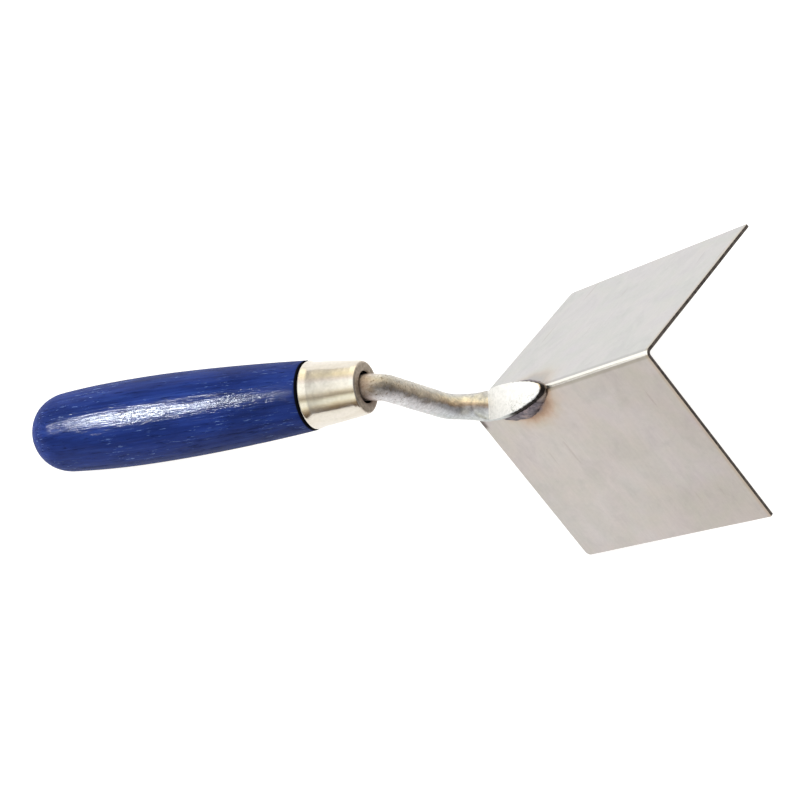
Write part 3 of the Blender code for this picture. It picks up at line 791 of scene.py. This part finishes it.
def foot_ring(t):
    """Flat across the top, edge, wall and undercut sides, saddle beneath."""
    x, w, nx, nw = outline(t)
    thin = clamp01(w / (2.5 * MM))
    level = [(0.00, 0.0, FLAT_Z), (0.03, 0.05, FLAT_Z - 0.06 * MM),
             (0.12, 0.22, FLAT_Z - 0.50 * MM), (0.22, 0.30, 0.30 * MM),
             (0.32, 0.22, -0.40 * MM), (0.44, -0.10, -1.20 * MM),
             (0.58, -0.65, -2.10 * MM)]
    ring = []
    for i in range(SIDES):
        a = 2 * PI * i / SIDES
        c, s = math.cos(a), math.sin(a)
        if s >= 0 or abs(abs(c) - 1) < 1e-9:
            ring.append(Vector((x, w * c + FOOT_SHIFT, FLAT_Z)))
            continue
        sign = 1 if c >= 0 else -1
        b = (a - PI) / (PI / 2) if c < 0 else (2 * PI - a) / (PI / 2)
        b = clamp01(b)
        if b <= 0.58:
            for (b0, o0, z0), (b1, o1, z1) in zip(level, level[1:]):
                if b <= b1:
                    k = (b - b0) / (b1 - b0)
                    off, zz = lerp(o0, o1, k) * MM, lerp(z0, z1, k)
                    break
        else:
            k = (b - 0.58) / 0.42
            off, zz = -0.65 * MM - k * w * 1.0, None
        px = x + off * nx * (1.0 if off > 0 else thin)
        py = max(0.0, w + off * nw) if zz is not None else max(0.0, (w - 0.65 * MM * nw)) * (1 - k)
        floor = saddle(py)
        if zz is None:
            zz = floor
        zz = max(zz, floor) if b > 0.30 else max(zz, floor)
        zz = min(zz, FLAT_Z)
        ring.append(Vector((px, sign * py + FOOT_SHIFT, zz)))
    return ring


def centre_line():
    """Points (x, z, heading) of the rod's centre line, tang to foot."""
    h0 = -HANDLE_TILT
    ax, az = math.cos(h0), math.sin(h0)
    fx, fz = FERRULE_FRONT
    sx, sz = fx - NECK_BEND_START * ax, fz - NECK_BEND_START * az
    pts = []
    for i in range(21):
        k = TANG_LENGTH * (1 - i / 20.0)
        pts.append((sx - k * ax, sz - k * az, h0))
    r = NECK_BEND_RADIUS
    cx, cz = sx + r * math.sin(h0), sz - r * math.cos(h0)
    n = 40
    for i in range(1, n + 1):
        h = h0 + (NECK_HEADING - h0) * i / n
        pts.append((cx - r * math.sin(h), cz + r * math.cos(h), h))
    px, pz, _ = pts[-1]
    r2 = FOOT_BEND_RADIUS
    h = NECK_HEADING
    end_z = FOOT_CENTRE_Z + r2 - r2 * math.cos(h)
    run = (end_z - pz) / math.sin(h)
    n = 36
    for i in range(1, n + 1):
        pts.append((px + run * i / n * math.cos(h), pz + run * i / n * math.sin(h), h))
    px, pz, _ = pts[-1]
    cx, cz = px - r2 * math.sin(h), pz + r2 * math.cos(h)
    n = 64
    for i in range(1, n + 1):
        h = NECK_HEADING * (1 - i / n)
        pts.append((cx + r2 * math.sin(h), cz - r2 * math.cos(h), h))
    return pts, cx


def build_shank():
    line, bend_end = centre_line()
    rings = [rod_ring(*p) for p in line]
    first_foot = foot_ring(0.0)
    count = 34
    for k in range(len(rings) - count, len(rings)):
        t = ease(0.0, 1.0, (k - (len(rings) - count) + 1) / count)
        for i, v in enumerate(rings[k]):
            g = first_foot[i]
            s = math.sin(2 * PI * i / SIDES)
            if s < -1e-9:                     # sides and underside turn into the foot's
                v.y = lerp(v.y, g.y, t)
                v.z = lerp(v.z, min(v.z, g.z) if v.z > g.z else g.z, t)
            else:
                wide = g.y if abs(s) < 1e-9 else (g.y)
                v.y = lerp(v.y, wide, t)
            clear = saddle(v.y)
            if v.z < clear and v.x > -0.5 * MM:
                v.z = clear
    steps = 150
    for j in range(1, steps + 1):
        rings.append(foot_ring(j / steps))

    # the flat is ground down from the bend in a short steep run-out
    for ring in rings[-(steps + 40):]:
        for v in ring:
            if v.z < FLAT_Z:
                continue
            y = v.y - FOOT_SHIFT
            wave = 0.10 * MM * wobble(y, 0.3, 0.0, 1.6 * MM)
            steep = 2.3 * (1 - 0.80 * min(1.0, (y / (5.2 * MM)) ** 2))
            lim = FLAT_Z + max(0.0, (FLAT_START + wave - v.x)) * steep
            v.z = min(v.z, max(FLAT_Z, lim))
    # the run-out is dressed smooth into the bend
    first = len(line) - 60
    last = max(k for k, ring in enumerate(rings) if ring[24].x < FLAT_START - 0.15 * MM)
    for _ in range(26):
        new = []
        for k in range(first, last):
            a, b, c = rings[k - 1], rings[k], rings[k + 1]
            new.append([(p + q * 2 + r) / 4 if q.z > FLAT_Z else q
                        for p, q, r in zip(a, b, c)])
        rings[first:last] = new
    # hand-made surface
    for k, ring in enumerate(rings):
        for i, v in enumerate(ring):
            if v.z <= FLAT_Z + 0.01 * MM and v.x > FLAT_START - 0.2 * MM:
                amount = 0.012
            else:
                amount = 0.035
            c = Vector((line[k][0], 0, line[k][1])) if k < len(line) else Vector((v.x, FOOT_SHIFT, 0.0))
            d = (v - c)
            if d.length > 1e-6:
                v += d.normalized() * amount * MM * (wobble(v.x, v.y, v.z, 3.2 * MM)
                                                      + 0.5 * wobble(v.x, v.y, v.z, 1.1 * MM))
    bm = bmesh.new()
    loops = [[bm.verts.new(v) for v in ring] for ring in rings]
    for a, b in zip(loops, loops[1:]):
        bridge(bm, a, b)
    bm.faces.new(list(reversed(loops[0])))
    bmesh.ops.remove_doubles(bm, verts=bm.verts, dist=0.000004)
    holes = [e for e in bm.edges if len(e.link_faces) == 1]
    if holes:
        bmesh.ops.holes_fill(bm, edges=holes, sides=0)
    ob = mesh_object("bent_shank", bm, TOOL)
    ob.data.materials.append(ROD)
    shade(ob, 42)
    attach(ob, "root")
    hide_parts("shank")
    return ob


def build_bead(name, node, side):
    """Fillet from the foot's wall down onto the wing, right round to the nose."""
    bm = bmesh.new()
    start, steps = 0.14, 230
    loops = []
    for j in range(steps + 1):
        t = lerp(start, 1.0, j / steps)
        x, w, nx, nw = outline(t)
        grow = ease(start, start + 0.16, t)
        nose = ease(0.80, 1.0, t)
        # the toe on the wing, further out in the middle of the run
        toe = spline(x / MM, [(11, -0.9), (15, -0.4), (18, 0.50), (21, 0.95), (25, 0.90),
                              (28, 0.60), (31, 0.36), (34, 0.22), (35.8, 0.18)]) * MM
        if side > 0:
            toe *= 0.7
        run = j / steps * 46
        ripple = 0.5 + 0.5 * math.sin(2 * PI * (run / 3.2))
        lump = 0.16 * wobble(x, side * w, 2.0, 2.0 * MM) + 0.10 * wobble(x, side * w, 5.0, 0.8 * MM)
        crown = lerp(-0.55, -0.35, nose) * MM + 0.16 * MM * lump * 2 - 0.10 * MM * ripple
        ring = []
        levels = [(-0.55, 1.30), (-0.15, 1.15), (0.12, 0.55), (0.26, 0.18), (0.42, 0.02),
                  (0.60, 0.06), (0.78, 0.20), (0.90, 0.36), (0.96, 0.52), (0.97, 0.66),
                  (0.95, 0.78), (0.92, 0.88), (0.95, 0.95), (1.00, 1.01), (0.90, 1.12),
                  (0.40, 1.20), (-0.10, 1.25)]
        bulge = (0.55 + 0.30 * grow + 0.25 * lump + 0.10 * ripple) * MM * (0.4 + 0.6 * grow)
        bulge *= 1.0 - 0.60 * ease(27 * MM, 34 * MM, x)
        for k, (o, f) in enumerate(levels):
            if o > 0.3:
                off = toe * clamp01(f) ** 1.4 + bulge * o * math.sin(PI * clamp01(0.18 + 0.82 * f) ** 0.8) ** 0.8 \
                    if f < 1.0 else toe * o
                off = max(off, 0.28 * MM * o)
            else:
                off = o * MM * 1.2
            py = max(0.02 * MM, w + off * nw)
            px = x + off * nx
            wing = saddle(py) - 0.80 * MM + (0.0 if py > 1.2 * MM else 0.0)
            wing = -math.hypot(py, 0.83 * MM * (1 - clamp01(py / (3 * MM))) + 0.0001 * MM)
            z = lerp(crown, wing, f)
            ring.append(bm.verts.new((px, side * py + FOOT_SHIFT, z)))
        loops.append(ring)
    for a, b in zip(loops, loops[1:]):
        bridge(bm, a, b)
    bm.faces.new(list(reversed(loops[0])))
    bm.faces.new(loops[-1])
    ob = mesh_object(name, bm, TOOL)
    ob.data.materials.append(WELD)
    shade(ob, 50)
    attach(ob, "root")
    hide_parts(node)
    return ob


# ----------------------------------------------------------------------------
# Ferrule
# ----------------------------------------------------------------------------
def build_ferrule():
    t = FERRULE_THICKNESS
    rf, rr = FERRULE_FRONT_RADIUS, FERRULE_REAR_RADIUS
    re = 1.0 * MM
    slope = (rr - rf) / FERRULE_LENGTH
    hole = 4.6 * MM
    outer = []
    outer += [(hole + 0.16 * MM, -0.16 * MM), (hole + 0.05 * MM, -0.30 * MM)][::-1]
    outer += [(hole + 0.34 * MM, -0.05 * MM), (hole + 0.60 * MM, 0.0)]
    n = 6
    for i in range(1, n + 1):
        outer.append((lerp(hole + 0.6 * MM, rf - re, i / n), 0.0))
    n = 12
    for i in range(1, n + 1):
        a = lerp(PI / 2, math.radians(6.6), i / n)
        outer.append((rf - re + re * math.cos(a), -re + re * math.sin(a)))
    n = 30
    s0, s1 = 1.3 * MM, FERRULE_LENGTH - 2.2 * MM
    for i in range(n + 1):
        s = lerp(s0, s1, i / n)
        bow = 0.06 * MM * math.sin(PI * i / n)
        outer.append((rf + slope * s + bow, -s))
    # rear rim: swept out a little and rolled over
    for s, extra in ((1.8, 0.02), (1.4, 0.06), (1.0, 0.12), (0.7, 0.18), (0.45, 0.22),
                     (0.25, 0.235), (0.12, 0.22), (0.04, 0.17), (0.0, 0.08)):
        outer.append((rf + slope * (FERRULE_LENGTH - s * MM) + extra * MM,
                      -(FERRULE_LENGTH - s * MM)))
    inner = [(rr - t + 0.1 * MM, -FERRULE_LENGTH), (rr - t, -FERRULE_LENGTH + 0.1 * MM)]
    inner += [(rf - t + slope * s * MM, -s * MM) for s in (12, 8, 4, 1.8)]
    inner += [(rf - t - 0.6 * MM, -t), (hole + 0.1 * MM, -t), (hole, -t + 0.1 * MM),
              (hole, -0.42 * MM)]
    profile = outer + inner

    def shape(k, r, z, a):
        # the hole is drawn out towards the bend (local +X is the tool's underside)
        near_hole = 1 - clamp01((r - hole) / (1.6 * MM))
        if z > -1.0 * MM:
            r = r + 0.42 * MM * near_hole * max(0.0, math.cos(a)) ** 2
        r += 0.02 * MM * wobble(math.cos(a), math.sin(a), z * 60, 0.9)
        return r, z

    bm, rings = lathe("ferrule_cap", profile, 160, AXIS, shape)
    bridge(bm, rings[-1], rings[0])
    ob = mesh_object("ferrule_cap", bm, AXIS)
    ob.data.materials.append(PLATE)
    shade(ob, 50)
    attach(ob, "root")
    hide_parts("ferrule")
    return ob


# ----------------------------------------------------------------------------
# Handle
# ----------------------------------------------------------------------------
def handle_radius(s):
    if s < HANDLE_BELLY_STATION:
        rise = math.sin(PI / 2 * s / HANDLE_BELLY_STATION) ** 0.9
        body = HANDLE_NECK_RADIUS + (HANDLE_BELLY_RADIUS - HANDLE_NECK_RADIUS) * rise
    else:
        body = HANDLE_BELLY_RADIUS - 1.6 * (s - HANDLE_BELLY_STATION) ** 2
    if s > HANDLE_BUTT_STATION:
        u = min(1.0, (s - HANDLE_BUTT_STATION) / (HANDLE_LENGTH - HANDLE_BUTT_STATION))
        body *= max(0.0, 1 - u ** 2.3) ** (1 / 2.3)
    return body


def build_handle():
    gap = 0.32 * MM
    slope = (FERRULE_REAR_RADIUS - FERRULE_FRONT_RADIUS) / FERRULE_LENGTH
    inside = FERRULE_REAR_RADIUS - FERRULE_THICKNESS - gap
    spigot = 4.2 * MM
    front_r = inside - slope * (FERRULE_LENGTH - spigot)
    shoulder = -(FERRULE_LENGTH + gap)
    profile = [(0.0, -62 * MM), (3.0 * MM, -62 * MM), (5.4 * MM, -60 * MM),
               (5.4 * MM, -40 * MM), (5.4 * MM, -24 * MM), (5.4 * MM, -spigot),
               (front_r - 0.4 * MM, -spigot), (front_r, -spigot - 0.4 * MM),
               (inside, shoulder + 0.02 * MM), (inside + 0.05 * MM, shoulder)]
    profile += [(HANDLE_NECK_RADIUS - 0.50 * MM, shoulder),
                (HANDLE_NECK_RADIUS - 0.30 * MM, shoulder - 0.06 * MM),
                (HANDLE_NECK_RADIUS - 0.12 * MM, shoulder - 0.22 * MM),
                (HANDLE_NECK_RADIUS - 0.03 * MM, shoulder - 0.48 * MM)]
    body_from = len(profile)
    n = 120
    for i in range(n + 1):
        s = lerp(0.95 * MM, HANDLE_BUTT_STATION, i / n)
        profile.append((handle_radius(s), -FERRULE_LENGTH - s))
    n = 40
    for i in range(1, n + 1):
        u = math.sin(PI / 2 * i / n)
        s = lerp(HANDLE_BUTT_STATION, HANDLE_LENGTH, u)
        r = handle_radius(s)
        if i == n:
            r = 0.0
        profile.append((r, -FERRULE_LENGTH - s))

    def shape(k, r, z, a):
        if k < body_from:
            return r, z
        s = -z - FERRULE_LENGTH
        fade = ease(0, 6 * MM, s)
        cx, cy = r * math.cos(a), r * math.sin(a)
        out = 0.07 * wobble(cx, cy, z * 0.35, 9 * MM)
        out += 0.035 * wobble(cx, cy, z * 0.12, 2.6 * MM)
        out += 0.016 * wobble(cx, cy, z * 0.06, 1.0 * MM)
        # small dents
        d = wobble(cx + 1.0, cy, z * 0.6, 2.4 * MM)
        if d > 0.42:
            out -= 0.35 * (d - 0.42)
        return r + out * MM * fade * min(1.0, r / (4 * MM)), z

    bm, rings = lathe("turned_handle", profile, 224, AXIS, shape)
    ob = mesh_object("turned_handle", bm, AXIS)
    ob.data.materials.append(WOOD)
    shade(ob, 50)
    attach(ob, "root")
    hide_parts("handle")
    return ob


build_blade()
build_shank()
build_bead("left_fillet_weld", "weld_bead_left", 1)
build_bead("right_fillet_weld", "weld_bead_right", -1)
build_ferrule()
handle = build_handle()

resin_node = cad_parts["tang_adhesive"]
resin_node.data.materials.clear()
resin_node.data.materials.append(RESIN)

# ----------------------------------------------------------------------------
# Floor, light and camera
# ----------------------------------------------------------------------------
scene = bpy.context.scene
bm = bmesh.new()
bmesh.ops.create_grid(bm, x_segments=8, y_segments=8, size=2.5)
floor = mesh_object("studio_floor", bm, Matrix.Translation((0, 0, -0.0003)))
f = Look("floor_paint")
f.set("Base Color", f.ramp(f.noise(f.where(), 6, 2), [(0.3, (0.44, 0.44, 0.44)),
                                                      (0.7, (0.46, 0.46, 0.46))]))
f.set("Roughness", 0.9)
f.set("Specular IOR Level", 0.1)
f.bsdf.inputs["Emission Color"].default_value = (1.0, 1.0, 1.0, 1.0)
f.bsdf.inputs["Emission Strength"].default_value = 0.78
side = f.nt.nodes.new("ShaderNodeNewGeometry")
clear = f.nt.nodes.new("ShaderNodeBsdfTransparent")
swap = f.nt.nodes.new("ShaderNodeMixShader")
shown = next(n for n in f.nt.nodes if n.type == 'OUTPUT_MATERIAL')
f.nt.links.new(side.outputs["Backfacing"], swap.inputs[0])
f.nt.links.new(f.bsdf.outputs[0], swap.inputs[1])
f.nt.links.new(clear.outputs[0], swap.inputs[2])
f.nt.links.new(swap.outputs[0], shown.inputs["Surface"])
floor.data.materials.append(f.mat)

# Studio surroundings: soft strips of light and shade that lie along the handle.
along = Vector((math.cos(REST_ANGLE - HANDLE_TILT), 0.0, math.sin(REST_ANGLE - HANDLE_TILT)))
across = Vector((0.0, 1.0, 0.0))
above = Vector((-along.z, 0.0, along.x))
world = bpy.data.worlds.new("studio")
scene.world = world
world.use_nodes = True
nt = world.node_tree
nt.nodes.clear()


def wnode(kind, **props):
    n = nt.nodes.new(kind)
    for k, v in props.items():
        setattr(n, k, v)
    return n


tex = wnode("ShaderNodeTexCoord")
dots = []
for v in (across, above, along):
    d = wnode("ShaderNodeVectorMath", operation='DOT_PRODUCT')
    nt.links.new(tex.outputs["Generated"], d.inputs[0])
    d.inputs[1].default_value = v
    dots.append(d.outputs["Value"])
angle = wnode("ShaderNodeMath", operation='ARCTAN2')
nt.links.new(dots[0], angle.inputs[0])
nt.links.new(dots[1], angle.inputs[1])
turn = wnode("ShaderNodeMapRange")
turn.inputs["From Min"].default_value = -PI
turn.inputs["From Max"].default_value = PI
nt.links.new(angle.outputs[0], turn.inputs["Value"])
strips = wnode("ShaderNodeValToRGB")
BANDS = [(-180, (0.5, 0.5, 0.5)), (-90, (0.22, 0.17, 0.13)), (-80, (0.17, 0.12, 0.08)),
         (-67, (0.42, 0.32, 0.20)), (-55, (1.25, 1.17, 0.92)), (-46, (1.52, 1.53, 1.36)),
         (-37, (1.42, 1.44, 1.27)), (-31, (0.95, 0.90, 0.72)), (-25.5, (0.50, 0.44, 0.33)),
         (-15, (0.98, 0.90, 0.72)), (-8, (1.45, 1.42, 1.28)), (0, (1.66, 1.68, 1.62)),
         (24, (1.68, 1.72, 1.70)), (33, (1.45, 1.36, 1.32)), (42, (1.42, 1.31, 1.12)),
         (52, (1.66, 1.52, 1.12)), (60, (1.72, 1.58, 1.16)), (69, (1.98, 1.84, 1.46)),
         (85, (1.95, 1.82, 1.50)), (180, (0.5, 0.5, 0.5))]
el = strips.color_ramp.elements
while len(el) > 1:
    el.remove(el[-1])
for i, (deg, c) in enumerate(BANDS):
    pos = deg / 360 + 0.5
    e = el[0] if i == 0 else el.new(pos)
    e.position = pos
    e.color = (c[0] / 2, c[1] / 2, c[2] / 2, 1.0)
nt.links.new(turn.outputs["Result"], strips.inputs[0])


def window(a, b, lo_v, hi_v):
    m = wnode("ShaderNodeMapRange", interpolation_type='SMOOTHSTEP')
    m.inputs["From Min"].default_value = a
    m.inputs["From Max"].default_value = b
    m.inputs["To Min"].default_value = lo_v
    m.inputs["To Max"].default_value = hi_v
    nt.links.new(dots[2], m.inputs["Value"])
    return m.outputs["Result"]


both = wnode("ShaderNodeMath", operation='MULTIPLY')
nt.links.new(window(-0.36, -0.24, 0.0, 1.0), both.inputs[0])
nt.links.new(window(0.50, 0.80, 1.0, 0.0), both.inputs[1])
dim = wnode("ShaderNodeMix", data_type='RGBA')
nt.links.new(both.outputs[0], dim.inputs[0])
dim.inputs[6].default_value = (0.16, 0.16, 0.165, 1.0)
nt.links.new(strips.outputs["Color"], dim.inputs[7])
lit = wnode("ShaderNodeBackground")
nt.links.new(dim.outputs[2], lit.inputs["Color"])
lit.inputs["Strength"].default_value = 2.0
plain = wnode("ShaderNodeBackground")
plain.inputs["Color"].default_value = (0.93, 0.93, 0.93, 1.0)
plain.inputs["Strength"].default_value = 1.0
path = wnode("ShaderNodeLightPath")
pick = wnode("ShaderNodeMixShader")
nt.links.new(path.outputs["Is Camera Ray"], pick.inputs[0])
nt.links.new(lit.outputs[0], pick.inputs[1])
nt.links.new(plain.outputs[0], pick.inputs[2])
end = wnode("ShaderNodeOutputWorld")
nt.links.new(pick.outputs[0], end.inputs["Surface"])


def softbox(name, direction, distance, width, height, radiance, target,
            colour=(1, 1, 1), shape='RECTANGLE'):
    data = bpy.data.lights.new(name, 'AREA')
    data.shape = shape
    data.size, data.size_y = width, height
    data.energy = radiance * PI * width * height
    data.color = colour
    ob = bpy.data.objects.new(name, data)
    scene.collection.objects.link(ob)
    d = Vector(direction).normalized()
    ob.location = Vector(target) + d * distance
    ob.rotation_mode = 'QUATERNION'
    ob.rotation_quaternion = d.to_track_quat('Z', 'Y')
    ob.visible_camera = False
    return ob


key = softbox("key_softbox", (-0.903, 0.0835, 0.4227), 0.75, 0.56, 0.46, 8.5, (-0.03, 0.0, 0.03))
key.visible_glossy = False
strip = softbox("strip_softbox", (-0.8506, 0.0881, 0.5117), 0.75, 0.15, 0.20, 300.0, (-0.05, 0.0, 0.02),
                (0.94, 1.0, 0.985), 'ELLIPSE')
strip.visible_diffuse = False
gloss = bpy.data.collections.new("lit_by_strip")
gloss.objects.link(handle)
strip.light_linking.receiver_collection = gloss

camera_data = bpy.data.cameras.new("camera")
camera_data.sensor_width = 36.0
camera_data.lens = 83.482718
camera_data.clip_start = 0.01
camera_data.clip_end = 20.0
camera = bpy.data.objects.new("camera", camera_data)
scene.collection.objects.link(camera)
camera.matrix_world = Matrix(((0.99903639, 0.03464606, -0.02694424, -0.00902081),
                              (-0.03967572, 0.97538762, -0.21689829, -0.11828585),
                              (0.01876639, 0.2177583, 0.97582229, 0.57335834),
                              (0.0, 0.0, 0.0, 1.0)))
scene.camera = camera
scene.view_settings.view_transform = 'Standard'
scene.view_settings.look = 'None'

bpy.context.view_layer.update()
